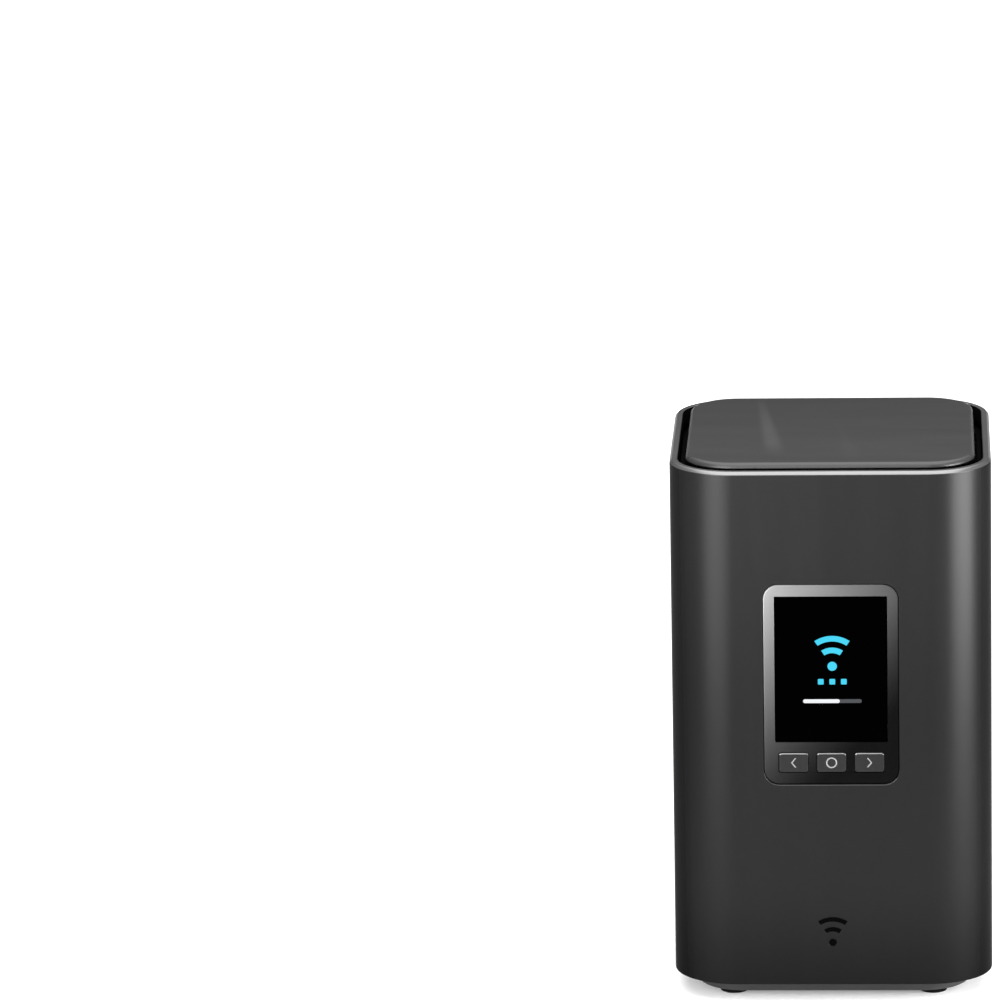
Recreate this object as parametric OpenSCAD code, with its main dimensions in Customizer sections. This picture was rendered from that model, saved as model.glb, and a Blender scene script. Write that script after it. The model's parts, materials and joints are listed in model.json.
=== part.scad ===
// Desktop cellular internet gateway: a square tower with a front display, three keys,
// a floating top plate over a vent gap, a vented base on rubber feet and a rear socket panel.
// Millimetres. +Z up, the display faces -Y, origin on the floor under the tower's centre.

/* [Enclosure] */
// Width and depth of the square tower
body_w = 123; // [122:0.5:126]
// Radius of the tower's vertical corners
corner_r = 24.5; // [23:0.5:26]
// Wall thickness of the sleeve
wall = 2.5; // [2.4:0.1:2.8]
// Height of the sleeve's bottom edge above the floor
sleeve_z = 7.5; // [7.2:0.1:8]
// Height of the sleeve, from its bottom edge to its rim
sleeve_h = 203.5; // [203:0.5:206]
// Chamfer round the outside of the rim
rim_chamfer = 1.3; // [0.5:0.1:1.6]
// Wall thickness of the thicker band at the rim
rim_wall = 3.1; // [2.8:0.1:3.4]

/* [Top plate] */
// Width and depth of the floating top plate
plate_w = 110.5; // [109:0.5:112]
// Corner radius of the top plate
plate_r = 18.5; // [17:0.5:20]
// How far the top plate stands above the rim
plate_proud = 2; // [1:0.5:3]
// Rounding of the top plate's upper edge
plate_edge_r = 2; // [1:0.5:2.5]

/* [Base] */
// Width and depth of the base below the sleeve
base_w = 105; // [104:0.5:105.5]
// Corner radius of the base
base_r = 18; // [16:0.5:18.5]
// Radius of a rubber foot
foot_r = 5.5; // [4.5:0.5:5.5]
// Height of a foot below the base
foot_h = 2.1; // [1.8:0.1:2.4]
// Distance of the feet from the centre, sideways
foot_x = 38.5; // [37:0.5:39]
// Distance of the feet from the centre, front to back
foot_y = 44; // [42:0.5:44]

/* [Display] */
// Width of the visible screen
screen_w = 43.2; // [42:0.2:44]
// Height of the visible screen
screen_h = 57.6; // [56:0.2:58]
// Height of the screen's centre above the floor
screen_z = 133.3; // [133:0.1:134]
// Width of the bezel
bezel_w = 51.5; // [51:0.1:52.5]
// Height of the bezel
bezel_h = 78.9; // [78.5:0.1:79.5]
// Corner radius of the bezel
bezel_r = 5.8; // [5:0.1:6.2]
// Height of the bezel's centre above the floor
bezel_z = 127.35; // [127.2:0.05:127.4]

/* [Keys] */
// Width of a key
key_w = 11.2; // [10.5:0.1:11.5]
// Height of a key
key_h = 7.6; // [7:0.1:8]
// Distance between the centres of neighbouring keys
key_pitch = 14.5; // [14.3:0.1:14.7]
// Height of the keys' centres above the floor
key_z = 96.4; // [96.2:0.1:96.8]

/* [Emblem] */
// Height of the emblem's centre above the floor
emblem_z = 28.8; // [24:0.5:40]
// Radius of the emblem's outer arc
emblem_r = 10.2; // [8:0.2:12]

/* [Rear panel] */
// Width of the socket panel
panel_w = 34; // [33:0.5:36]
// Height of the socket panel
panel_h = 104; // [103:0.5:106]
// Height of the panel's centre above the floor
panel_z = 68; // [67.5:0.5:69]
// Height of the power inlet's centre
inlet_z = 28; // [27:0.5:29]
// Height of the lower network socket's centre
lan_low_z = 48; // [47.5:0.5:48.5]
// Distance between the two network sockets' centres
lan_pitch = 20; // [19.5:0.5:20.5]
// Height of the card tray's centre
sim_z = 88; // [87.5:0.5:88]
// Height of the reset pinhole
reset_z = 99; // [99:0.25:99.5]
// Height of the power button's centre
power_z = 110; // [109.5:0.5:111]

/* [Hidden] */

$fn = 96;
eps = 0.1;
moulded_gap = 0.2;

// Sleeve
half = body_w / 2;
inner_w = body_w - 2 * wall;
inner_r = corner_r - wall;
inner_half = inner_w / 2;
rim_z = sleeve_z + sleeve_h;
rim_band_h = 6;
mouth_w = body_w - 2 * rim_wall;
mouth_r = corner_r - rim_wall;
lip_h = 2;
lip_gap = 0.5;
trim_recess = 1.5;
trim_inset = 0.4;

// Outline of the parts that drop in through the rim
insert_w = mouth_w - 3 * moulded_gap;
insert_r = mouth_r - moulded_gap;

// Front stack, from the face inwards
front_y = -half;
bezel_front_y = front_y + trim_inset;
bezel_seat_y = front_y + trim_recess;
wall_in_y = -inner_half;
bezel_chamfer = 0.35;
boss_margin = 1.8;
boss_w = bezel_w - 2 * boss_margin;
boss_h = bezel_h - 2 * boss_margin;
boss_r = 3.5;
boss_back_y = bezel_seat_y + 3.8;
glass_w = screen_w + 2;
glass_h = screen_h + 1.8;
glass_t = 1.1;
glass_inset = 0.35;
glass_gap = 0.2;
glass_r = 0.4;
pocket_r = 0.5;
glass_back_y = bezel_seat_y + glass_t;

// Keys
key_r = 1;
key_gap = 0.25;
key_front_y = front_y + 0.05;
key_chamfer = 0.4;
key_flange = 0.7;
key_flange_front_y = bezel_seat_y + 0.15;
key_flange_back_y = key_flange_front_y + 0.8;
key_stem_r = 1.2;
plunger_front_y = key_flange_back_y + 0.65;
plunger_l = 1.5;
plunger_r = 1;
legend_t = 0.2;
chevron_w = 2;
chevron_h = 3.7;
chevron_s = 0.55;
ring_r = 2.125;
ring_line = 0.5;
switch_w = 6;
switch_h = 5;
switch_t = 1.4;
key_board_w = 44;
key_board_h = 10.4;
key_board_t = 1;
key_pocket_h = 11.2;
key_pocket_z = key_z - 0.2;

// Display bracket
bracket_t = 1.5;
bracket_back_y = boss_back_y + bracket_t;
bracket_margin = 3.9;
ear_x = 33;
ear_z = [100, 153];
ear_from = 24.5;
ear_to = 37;
ear_half_h = 4;
ear_t = 2.3;
shell_boss_r = 3.2;
shell_boss_l = 2;
flex_t = 0.2;
flex_end_y = -36;
display_flex_z = [120, 130];
key_flex_z = [94, 98];
flex_tail_x = 8;
flex_window_half = 9;

// Emblem: a dot under two arcs
emblem_t = 0.3;
emblem_line = 1.8;
emblem_dot_r = 1.5;
emblem_arc_gap = 4;
emblem_angle = 34;

// Rear stack, from the face inwards
rear_y = half;
panel_out_y = rear_y - trim_inset;
panel_seat_y = rear_y - trim_recess;
panel_in_y = rear_y - 4;
panel_r = 5;
panel_rim = 2.3;

// Circuit board, standing in the YZ plane
board_x = -6.75;
board_t = 1.6;
board_back_x = board_x - board_t;
board_y = [-40, rear_y - 5];
board_z = [18, 194];

// Network sockets
jack_w = 16;
jack_h = 13.5;
jack_d = 21.3;
jack_face_y = rear_y - 0.9;
jack_gap = 0.3;
plug_w = 11.9;
plug_x = [-4.6, 2.3];
plug_d = 14;
contact_slot_half = 4.2;
latch_steps = [[2.3, 4.0, 6.2], [4.0, 5.2, 3.2]];
contact_x = [-5.2, -4.3];
contact_pitch = 1.02;
contact_w = 0.4;
led_x = [3.2, 5.4];
led_z = [4.3, 7.1];
led_d = 3;

// Power inlet
usb_w = 8.94;
usb_h = 3.26;
usb_wall = 0.3;
usb_d = 7.35;
usb_x = board_x + usb_h / 2;
usb_face_y = rear_y - 0.5;
usb_gap = 0.3;
tongue_w = 6.69;
tongue_t = 0.7;
tongue_l = 5.35;
tongue_root_y = usb_face_y - usb_d + 1;

// Power and reset buttons
button_r = 4.5;
button_gap = 0.15;
button_out_y = rear_y - 0.1;
button_flange_r = 5.4;
button_flange_y = [panel_in_y - 1.1, panel_in_y - 0.2];
button_stem_r = 1.5;
side_switch_y = [rear_y - 11.5, rear_y - 7.5];
side_switch_x = [board_x, 3.5];
power_switch_half = 4;
reset_switch_half = 3.2;
side_plunger_r = 1.2;
power_plunger_y = [rear_y - 8.9, rear_y - 6.6];
reset_plunger_r = 1.5;
reset_plunger_y = [rear_y - 8.3, rear_y - 4.3];
pinhole_r = 0.9;
pinhole_relief_r = 2.2;

// Card tray
tray_x = board_x + 1.65;
tray_t = 1.2;
tray_w = 11.2;
tray_y = [rear_y - 23, rear_y - 1.6];
tray_face_w = 15;
tray_face_t = 3.4;
card_l = 12.3;
card_w = 8.8;
card_t = 0.67;
card_y = rear_y - 19.4;
card_floor = 0.4;
eject_hole_r = 0.5;
reader_w = 14;
reader_y = [rear_y - 24.5, rear_y - 5.5];
reader_x = [board_x, board_x + 3.05];

// Base
base_floor = 2.5;
base_chamfer = 0.4;
flange_z = sleeve_z + lip_h;
flange_t = 3;
flange_top = flange_z + flange_t;
foot_seat = 1;
base_screw_at = 47;
base_boss_r = 4.5;
slot_w = 3;
slot_pitch = 6;
slot_y = [18, 38];
label_w = 44;
label_d = 26;
label_t = 0.3;

// Chassis
frame_w = 110;
frame_r = 18;
low_ring_t = 4.5;
low_ring_w = 12;
low_ring_top = flange_top + low_ring_t;
top_ring_z = 196;
top_ring_t = 4;
top_ring_w = 4;
post_r = 4;
post_at = 46.5;
beam_w = 8;
beam_h = 10;
beam_half_l = 53;

// Vent grille and top plate
grille_z = top_ring_z + top_ring_t;
grille_t = 3;
grille_top = grille_z + grille_t;
plate_top = rim_z + plate_proud;
plate_t = 3;
skirt_h = 4;
skirt_wall = 2.5;
plate_boss_r = 4;
plate_screw_at = 40;

// Heatsinks and radio parts
pad_t = 1;
shield_t = 3;
shield_y = [-20, 16];
soc_z = [120, 164];
wifi_z = [94, 114];
main_sink_x = board_x + shield_t + pad_t;
main_sink_y = [-38, 30];
main_sink_z = [84, 184];
main_fin_h = 28.75;
main_fins = 12;
main_posts = [[-33, 90], [25, 90], [-33, 178], [25, 178]];
module_y = [-18, 12];
module_z = [108, 160];
module_x = [board_back_x - 2.65, board_back_x - 1.85];
module_shield_x = board_back_x - 4.85;
module_shield_y = [module_y[0] + 1, module_y[1] - 1];
module_shield_z = [module_z[0] + 5, module_z[1] - 3];
connector_inset = 4;
connector_h = 6;
memory_y = [-24, -4];
memory_z = [40, 60];
memory_size = [1.2, 13, 10];
capacitor_y = 30;
capacitor_z = [36:12:84];
capacitor_r = 4;
capacitor_l = 8;
modem_sink_x = module_shield_x - pad_t;
modem_sink_y = [-30, 24];
modem_sink_z = [96, 172];
modem_fin_h = 25;
modem_fins = 10;
modem_posts = [[-26, 100], [20, 100], [-26, 168], [20, 168]];
sink_base = 4;
fin_t = 1.5;
sink_post_r = 3;

// Antennas
carrier_x = [52, 54];
carrier_half_w = 36;
carrier_window_half = 20;
carrier_windows = [[34, 94], [116, 176]];
antenna_t = 0.8;
cell_half_w = 30;
cell_z = [[48, 80], [130, 162]];
wifi_half_w = 18;
wifi_antenna_z = [98, 112];
cable_r = 0.7;
cable_z = [130, 165];
cable_y = [28, 40];
cable_x = 44;
cable_bend_r = 3;

// Fasteners
m3_r = 1.5;
m3_head_r = 2.8;
m3_head_h = 2;
m2_r = 0.9;
m2_head_r = 1.9;
m2_head_h = 1.3;
m25_r = 1.25;
m25_head_r = 2.2;
m25_head_h = 1.6;
thread_gap = 0.05;
hole_gap = 0.15;
head_gap = 0.3;
head_sink = 0.4;
base_grip = 3.5;
plate_grip = 4.5;
board_grip = 6;
main_sink_grip = 4;
modem_sink_grip = 5;
board_screw_at = [[-34, 22], [36, 22], [-34, 191], [36, 191]];

module rounded_rect(w, h, r) {
    square([w, h - 2 * r], center = true);
    square([w - 2 * r, h], center = true);
    for (x = [-1, 1], y = [-1, 1])
        translate([x * (w / 2 - r), y * (h / 2 - r)]) circle(r);
}

module stadium(l, h) {
    square([h, l - h], center = true);
    for (y = [-1, 1])
        translate([0, y * (l - h) / 2]) circle(h / 2);
}

module rounded_prism(w, d, r, z0, z1) {
    translate([0, 0, z0]) linear_extrude(z1 - z0) rounded_rect(w, d, r);
}

// A rounded block whose upper edge has a chamfer c
module chamfered_prism(w, d, r, h, c) {
    function profile(a) = [[-a, 0], [a, 0], [a, h - c], [a - c, h], [c - a, h], [-a, h - c]];
    rotate([90, 0, 0]) linear_extrude(d - 2 * r, center = true) polygon(profile(w / 2));
    rotate([90, 0, 90]) linear_extrude(w - 2 * r, center = true) polygon(profile(d / 2));
    for (x = [-1, 1], y = [-1, 1])
        translate([x * (w / 2 - r), y * (d / 2 - r), 0])
            rotate_extrude() polygon([[0, 0], [r, 0], [r, h - c], [r - c, h], [0, h]]);
}

// The right half of a section whose upper corner is rounded by f
module soft_half(a, h, f) {
    square([a, h - f]);
    square([a - f, h]);
    translate([a - f, h - f]) circle(f);
}

module soft_section(a, h, f) {
    soft_half(a, h, f);
    mirror([1, 0]) soft_half(a, h, f);
}

// A rounded block whose upper edge is rounded by f
module soft_prism(w, d, r, h, f) {
    rotate([90, 0, 0]) linear_extrude(d - 2 * r, center = true) soft_section(w / 2, h, f);
    rotate([90, 0, 90]) linear_extrude(w - 2 * r, center = true) soft_section(d / 2, h, f);
    for (x = [-1, 1], y = [-1, 1])
        translate([x * (w / 2 - r), y * (d / 2 - r), 0]) rotate_extrude() soft_half(r, h, f);
}

// A plate that faces front or back, from y0 to y1
module facing_plate(w, h, r, y0, y1, z_mid) {
    translate([0, y1, z_mid]) rotate([90, 0, 0]) linear_extrude(y1 - y0) rounded_rect(w, h, r);
}

// A rod along Y from y0 to y1
module y_rod(r, y0, y1) {
    translate([0, y1, 0]) rotate([90, 0, 0]) cylinder(h = y1 - y0, r = r);
}

// A box between two corners
module block(lo, hi) {
    translate(lo) cube(hi - lo);
}

// A screw whose head lies on z = 0 and whose shank runs up from it
module screw(head_r, head_h, shank_r, shank_l) {
    difference() {
        translate([0, 0, -head_h]) cylinder(h = head_h, r = head_r);
        for (turn = [0, 90])
            rotate(turn)
                translate([0, 0, -head_h])
                    cube([head_r * 1.2, head_r * 0.3, head_h], center = true);
    }
    cylinder(h = shank_l, r = shank_r);
}

module four_corners(x, y) {
    for (sx = [-1, 1], sy = [-1, 1])
        translate([sx * x, sy * y, 0]) children();
}

module four_sides(at) {
    for (turn = [0:90:270])
        rotate(turn) translate([at, 0, 0]) children();
}

// Enclosure
module emblem_2d() {
    circle(emblem_dot_r);
    intersection() {
        union() {
            for (r = [emblem_r, emblem_r - emblem_arc_gap])
                difference() {
                    circle(r);
                    circle(r - emblem_line);
                }
        }
        reach = 2 * emblem_r;
        polygon([[0, 0], [reach * tan(emblem_angle), reach], [-reach * tan(emblem_angle), reach]]);
    }
}

module emblem_solid(depth) {
    foot = emblem_z - (emblem_r - emblem_dot_r) / 2;
    translate([0, front_y + depth, foot]) rotate([90, 0, 0]) linear_extrude(depth) emblem_2d();
}

module shell_body() {
    difference() {
        translate([0, 0, sleeve_z])
            chamfered_prism(body_w, body_w, corner_r, sleeve_h, rim_chamfer);
        rounded_prism(inner_w, inner_w, inner_r, flange_z, rim_z - rim_band_h);
        rounded_prism(mouth_w, mouth_w, mouth_r, flange_z, rim_z + 1);
        rounded_prism(base_w + 2 * lip_gap, base_w + 2 * lip_gap, base_r + lip_gap,
                      sleeve_z - 1, flange_z + 1);
    }
}

module bracket_bosses() {
    for (x = [-ear_x, ear_x], z = ear_z)
        translate([x, 0, z]) y_rod(shell_boss_r, wall_in_y - 1, wall_in_y + shell_boss_l);
}

module outer_shell() {
    fit = 2 * moulded_gap;
    color("#3b3b3d") difference() {
        union() {
            shell_body();
            bracket_bosses();
        }
        facing_plate(bezel_w + fit, bezel_h + fit, bezel_r + moulded_gap,
                     front_y - 1, bezel_seat_y, bezel_z);
        facing_plate(boss_w + fit, boss_h + fit, boss_r + moulded_gap,
                     front_y - 1, wall_in_y + 1, bezel_z);
        facing_plate(panel_w + fit, panel_h + fit, panel_r + moulded_gap,
                     panel_seat_y, rear_y + 1, panel_z);
        facing_plate(panel_w - 2 * panel_rim + fit, panel_h - 2 * panel_rim + fit,
                     panel_r - panel_rim + moulded_gap, inner_half - 1, rear_y + 1, panel_z);
        for (x = [-ear_x, ear_x], z = ear_z)
            translate([x, 0, z])
                y_rod(m2_r + thread_gap, wall_in_y - 0.5, wall_in_y + shell_boss_l + 1);
        emblem_solid(emblem_t);
    }
}

module front_emblem() {
    color("#0a0a0b") emblem_solid(emblem_t);
}

module top_plate() {
    low = plate_top - plate_t - skirt_h;
    inside = plate_w - 2 * skirt_wall;
    color("#565658") {
        difference() {
            translate([0, 0, low])
                soft_prism(plate_w, plate_w, plate_r, plate_t + skirt_h, plate_edge_r);
            rounded_prism(inside, inside, plate_r - skirt_wall, low - 1, plate_top - plate_t);
        }
        difference() {
            four_corners(plate_screw_at, plate_screw_at)
                translate([0, 0, grille_top])
                    cylinder(h = plate_top - plate_t - grille_top + eps, r = plate_boss_r);
            four_corners(plate_screw_at, plate_screw_at)
                translate([0, 0, grille_top - 1])
                    cylinder(h = plate_grip + 1.5, r = m25_r + thread_gap);
        }
    }
}

module vent_grille() {
    slot_from = 47;
    slot_l = 9.5;
    slot_step = 4;
    window = 30;
    window_at = 19;
    color("#161617") difference() {
        rounded_prism(insert_w, insert_w, insert_r, grille_z, grille_top);
        for (i = [-8:8])
            four_sides(slot_from + slot_l / 2)
                translate([0, i * slot_step, grille_z])
                    cube([slot_l, slot_step / 2, 3 * grille_t], center = true);
        four_corners(window_at, window_at)
            translate([0, 0, grille_z]) cube([window, window, 3 * grille_t], center = true);
        four_corners(plate_screw_at, plate_screw_at)
            translate([0, 0, grille_z - 1]) cylinder(h = grille_t + 2, r = m25_r + hole_gap);
    }
}

module base_tray() {
    inside = base_w - 2 * base_floor;
    floor_top = foot_h + base_floor;
    head_top = foot_h + m3_head_h + head_sink;
    color("#4b4b4d") difference() {
        union() {
            difference() {
                union() {
                    translate([0, 0, flange_top])
                        mirror([0, 0, 1])
                            chamfered_prism(base_w, base_w, base_r,
                                            flange_top - foot_h, base_chamfer);
                    rounded_prism(insert_w, insert_w, insert_r, flange_z, flange_top);
                }
                rounded_prism(inside, inside, base_r - base_floor, floor_top, flange_top + 1);
            }
            four_sides(base_screw_at)
                translate([0, 0, floor_top - 1])
                    cylinder(h = flange_top - floor_top + 1, r = base_boss_r);
        }
        for (i = [-5:5], side = [-1, 1])
            translate([i * slot_pitch, side * (slot_y[0] + slot_y[1]) / 2, foot_h])
                cube([slot_w, slot_y[1] - slot_y[0], 3 * base_floor], center = true);
        four_corners(foot_x, foot_y)
            translate([0, 0, foot_h - 1]) cylinder(h = 1 + foot_seat, r = foot_r + eps);
        block([-label_w / 2 - eps, -label_d / 2 - eps, foot_h - 1],
              [label_w / 2 + eps, label_d / 2 + eps, foot_h + label_t]);
        four_sides(base_screw_at) {
            translate([0, 0, foot_h - 1])
                cylinder(h = head_top - foot_h + 1, r = m3_head_r + head_gap);
            translate([0, 0, foot_h]) cylinder(h = flange_top, r = m3_r + hole_gap);
        }
    }
}

module rubber_feet() {
    edge = 0.6;
    color("#1c1c1d") four_corners(foot_x, foot_y) {
        cylinder(h = edge, r1 = foot_r - edge, r2 = foot_r);
        translate([0, 0, edge]) cylinder(h = foot_h + foot_seat - edge, r = foot_r);
    }
}

module rating_label() {
    color("#b9b9bb")
        block([-label_w / 2, -label_d / 2, foot_h], [label_w / 2, label_d / 2, foot_h + label_t]);
}

// Display and keys
module each_key() {
    for (i = [-1:1])
        translate([i * key_pitch, 0, key_z]) children();
}

module display_bezel() {
    pocket_w = glass_w + 2 * moulded_gap;
    color("#6d6d70") difference() {
        union() {
            translate([0, bezel_seat_y, bezel_z]) rotate([90, 0, 0])
                chamfered_prism(bezel_w, bezel_h, bezel_r,
                                bezel_seat_y - bezel_front_y, bezel_chamfer);
            facing_plate(boss_w, boss_h, boss_r, bezel_seat_y - eps, boss_back_y, bezel_z);
        }
        facing_plate(screen_w, screen_h, glass_r, front_y - 1, boss_back_y + 1, screen_z);
        facing_plate(pocket_w, glass_h + 2 * moulded_gap, pocket_r,
                     bezel_seat_y, boss_back_y + 1, screen_z);
        facing_plate(pocket_w, key_pocket_h, pocket_r,
                     bezel_seat_y, boss_back_y + 1, key_pocket_z);
        each_key()
            facing_plate(key_w + 2 * key_gap, key_h + 2 * key_gap, key_r + key_gap,
                         front_y - 1, bezel_seat_y + 1, 0);
    }
}

module display_glass() {
    color([0.02, 0.02, 0.03, 0.9]) {
        facing_plate(glass_w, glass_h, glass_r, bezel_seat_y, glass_back_y, screen_z);
        facing_plate(screen_w - glass_gap, screen_h - glass_gap, glass_r - glass_gap / 2,
                     bezel_front_y + glass_inset, bezel_seat_y + eps, screen_z);
    }
}

module lcd_panel() {
    color("#2a2c30")
        facing_plate(glass_w, glass_h, glass_r, glass_back_y, boss_back_y, screen_z);
}

module display_bracket() {
    outer_w = boss_w + 2 * bracket_margin;
    outer_h = boss_h + 2 * bracket_margin;
    color("#8f9194") difference() {
        union() {
            difference() {
                facing_plate(outer_w, outer_h, boss_r + bracket_margin,
                             wall_in_y, bracket_back_y, bezel_z);
                facing_plate(boss_w + 2 * moulded_gap, boss_h + 2 * moulded_gap,
                             boss_r + moulded_gap, wall_in_y - 1, boss_back_y, bezel_z);
            }
            for (side = [-1, 1], z = ear_z)
                translate([0, 0, z])
                    mirror([side < 0 ? 1 : 0, 0, 0])
                        block([ear_from, bracket_back_y - ear_t, -ear_half_h],
                              [ear_to, bracket_back_y, ear_half_h]);
        }
        facing_plate(key_board_w + 2 * moulded_gap, key_board_h + 2 * moulded_gap, pocket_r,
                     boss_back_y - 1, boss_back_y + key_board_t, key_z);
        block([-flex_window_half, boss_back_y - 1, display_flex_z[0] - 2],
              [flex_window_half, bracket_back_y + 1, display_flex_z[1] + 2]);
        block([-flex_window_half, boss_back_y - 1, key_flex_z[0] - 1],
              [flex_window_half, bracket_back_y + 1, key_flex_z[1] + 1]);
        for (x = [-ear_x, ear_x], z = ear_z)
            translate([x, 0, z]) y_rod(m2_r + hole_gap, wall_in_y - 1, bracket_back_y + 1);
    }
}

module chevron_2d() {
    w = chevron_w / 2;
    h = chevron_h / 2;
    polygon([[w, h], [w - chevron_s, h], [-w, 0], [w - chevron_s, -h], [w, -h],
             [chevron_s - w, 0]]);
}

module ring_2d() {
    difference() {
        circle(ring_r);
        circle(ring_r - ring_line);
    }
}

module legend_solid(place) {
    translate([place * key_pitch, key_front_y + legend_t, key_z])
        rotate([90, 0, 0]) linear_extrude(legend_t) {
            if (place == -1) chevron_2d();
            if (place == 0) ring_2d();
            if (place == 1) mirror([1, 0]) chevron_2d();
        }
}

module key_cap(place) {
    cap_t = key_flange_front_y - key_front_y;
    color("#48484a") difference() {
        translate([place * key_pitch, 0, key_z]) {
            translate([0, key_flange_front_y, 0]) rotate([90, 0, 0])
                chamfered_prism(key_w, key_h, key_r, cap_t, key_chamfer);
            facing_plate(key_w + 2 * key_flange, key_h + 2 * key_flange, key_r + key_flange,
                         key_flange_front_y, key_flange_back_y, 0);
            y_rod(key_stem_r, key_flange_back_y - eps, plunger_front_y);
        }
        legend_solid(place);
    }
}

module legend(place) {
    color("#cfcfd1") legend_solid(place);
}

module key_plunger(place) {
    color("#d8d4c8")
        translate([place * key_pitch, 0, key_z])
            y_rod(plunger_r, plunger_front_y, plunger_front_y + plunger_l);
}

module left_key() { key_cap(-1); }
module home_key() { key_cap(0); }
module right_key() { key_cap(1); }
module left_key_legend() { legend(-1); }
module home_key_legend() { legend(0); }
module right_key_legend() { legend(1); }
module left_key_plunger() { key_plunger(-1); }
module home_key_plunger() { key_plunger(0); }
module right_key_plunger() { key_plunger(1); }

module key_switches() {
    color("#202124") each_key() difference() {
        block([-switch_w / 2, boss_back_y - switch_t, -switch_h / 2],
              [switch_w / 2, boss_back_y, switch_h / 2]);
        y_rod(plunger_r + hole_gap, boss_back_y - switch_t - 1, boss_back_y + 1);
    }
}

module key_board() {
    color("#1f4d33")
        facing_plate(key_board_w, key_board_h, glass_r,
                     boss_back_y, boss_back_y + key_board_t, key_z);
}

// A flat ribbon that lies on a part's back and turns in along the main board
module ribbon(y0, z) {
    block([board_x, y0, z[0]], [flex_tail_x, y0 + flex_t, z[1]]);
    block([board_x, y0, z[0]], [board_x + flex_t, flex_end_y, z[1]]);
}

module display_flex() {
    color("#b86b1e") ribbon(boss_back_y, display_flex_z);
}

module key_flex() {
    color("#b86b1e") ribbon(boss_back_y + key_board_t, key_flex_z);
}

// Rear sockets and buttons
module io_panel() {
    clear_y = panel_in_y - 1;
    color("#242426") difference() {
        union() {
            facing_plate(panel_w, panel_h, panel_r, panel_seat_y, panel_out_y, panel_z);
            facing_plate(panel_w - 2 * panel_rim, panel_h - 2 * panel_rim, panel_r - panel_rim,
                         panel_in_y, panel_seat_y + eps, panel_z);
        }
        for (z = [lan_low_z, lan_low_z + lan_pitch])
            block([-jack_h / 2 - jack_gap, clear_y, z - jack_w / 2 - jack_gap],
                  [jack_h / 2 + jack_gap, rear_y, z + jack_w / 2 + jack_gap]);
        translate([usb_x, rear_y, inlet_z]) rotate([90, 0, 0])
            linear_extrude(rear_y - clear_y)
                stadium(usb_w + 2 * usb_gap, usb_h + 2 * usb_gap);
        block([tray_x - tray_face_t / 2 - moulded_gap, clear_y,
               sim_z - tray_face_w / 2 - moulded_gap],
              [tray_x + tray_face_t / 2 + moulded_gap, rear_y,
               sim_z + tray_face_w / 2 + moulded_gap]);
        translate([0, 0, reset_z]) {
            y_rod(pinhole_r, clear_y, rear_y);
            y_rod(pinhole_relief_r, clear_y, panel_seat_y);
        }
        translate([0, 0, power_z]) y_rod(button_r + button_gap, clear_y, rear_y);
    }
}

module lan_jack(z) {
    back_y = jack_face_y - jack_d;
    color("#2e2f31") translate([0, 0, z]) difference() {
        block([-jack_h / 2, back_y, -jack_w / 2], [jack_h / 2, jack_face_y, jack_w / 2]);
        block([plug_x[0], jack_face_y - plug_d, -plug_w / 2],
              [plug_x[1], jack_face_y + 1, plug_w / 2]);
        for (step = latch_steps)
            block([step[0] - eps, jack_face_y - plug_d, -step[2] / 2],
                  [step[1], jack_face_y + 1, step[2] / 2]);
        block([contact_x[0], jack_face_y - plug_d + 1, -contact_slot_half],
              [plug_x[0] + eps, jack_face_y - 1.5, contact_slot_half]);
        for (side = [-1, 1])
            translate([0, 0, side * (led_z[0] + led_z[1]) / 2])
                block([led_x[0], jack_face_y - led_d, (led_z[0] - led_z[1]) / 2],
                      [led_x[1], jack_face_y + 1, (led_z[1] - led_z[0]) / 2]);
    }
}

module lan_jack_lower() { lan_jack(lan_low_z); }
module lan_jack_upper() { lan_jack(lan_low_z + lan_pitch); }

module lan_contacts() {
    color("#c9a24a")
        for (z = [lan_low_z, lan_low_z + lan_pitch], i = [-3.5:3.5])
            translate([0, 0, z + i * contact_pitch])
                block([contact_x[0], jack_face_y - plug_d + 1.5, -contact_w / 2],
                      [contact_x[1], jack_face_y - 2, contact_w / 2]);
}

module lan_leds() {
    color("#d7dccb")
        for (z = [lan_low_z, lan_low_z + lan_pitch], side = [-1, 1])
            translate([0, 0, z + side * (led_z[0] + led_z[1]) / 2])
                block([led_x[0], jack_face_y - led_d, (led_z[0] - led_z[1]) / 2],
                      [led_x[1], jack_face_y, (led_z[1] - led_z[0]) / 2]);
}

module usb_section(grow, y0, y1) {
    translate([usb_x, y1, inlet_z]) rotate([90, 0, 0])
        linear_extrude(y1 - y0) stadium(usb_w + 2 * grow, usb_h + 2 * grow);
}

module usb_c_inlet() {
    color("#b5b7ba") difference() {
        usb_section(0, usb_face_y - usb_d, usb_face_y);
        usb_section(-usb_wall, tongue_root_y, usb_face_y + 1);
    }
}

module usb_c_tongue() {
    color("#18191b")
        translate([usb_x, 0, inlet_z])
            block([-tongue_t / 2, tongue_root_y, -tongue_w / 2],
                  [tongue_t / 2, tongue_root_y + tongue_l, tongue_w / 2]);
}

module power_button() {
    edge = 0.4;
    color("#3a3a3c") translate([0, 0, power_z]) {
        translate([0, button_out_y - edge, 0]) rotate([-90, 0, 0])
            cylinder(h = edge, r1 = button_r, r2 = button_r - edge);
        y_rod(button_r, button_flange_y[1] - eps, button_out_y - edge);
        y_rod(button_flange_r, button_flange_y[0], button_flange_y[1]);
        y_rod(button_stem_r, power_plunger_y[1], button_flange_y[0] + eps);
    }
}

module power_plunger() {
    color("#d8d4c8") translate([0, 0, power_z])
        y_rod(side_plunger_r, power_plunger_y[0], power_plunger_y[1]);
}

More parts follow.
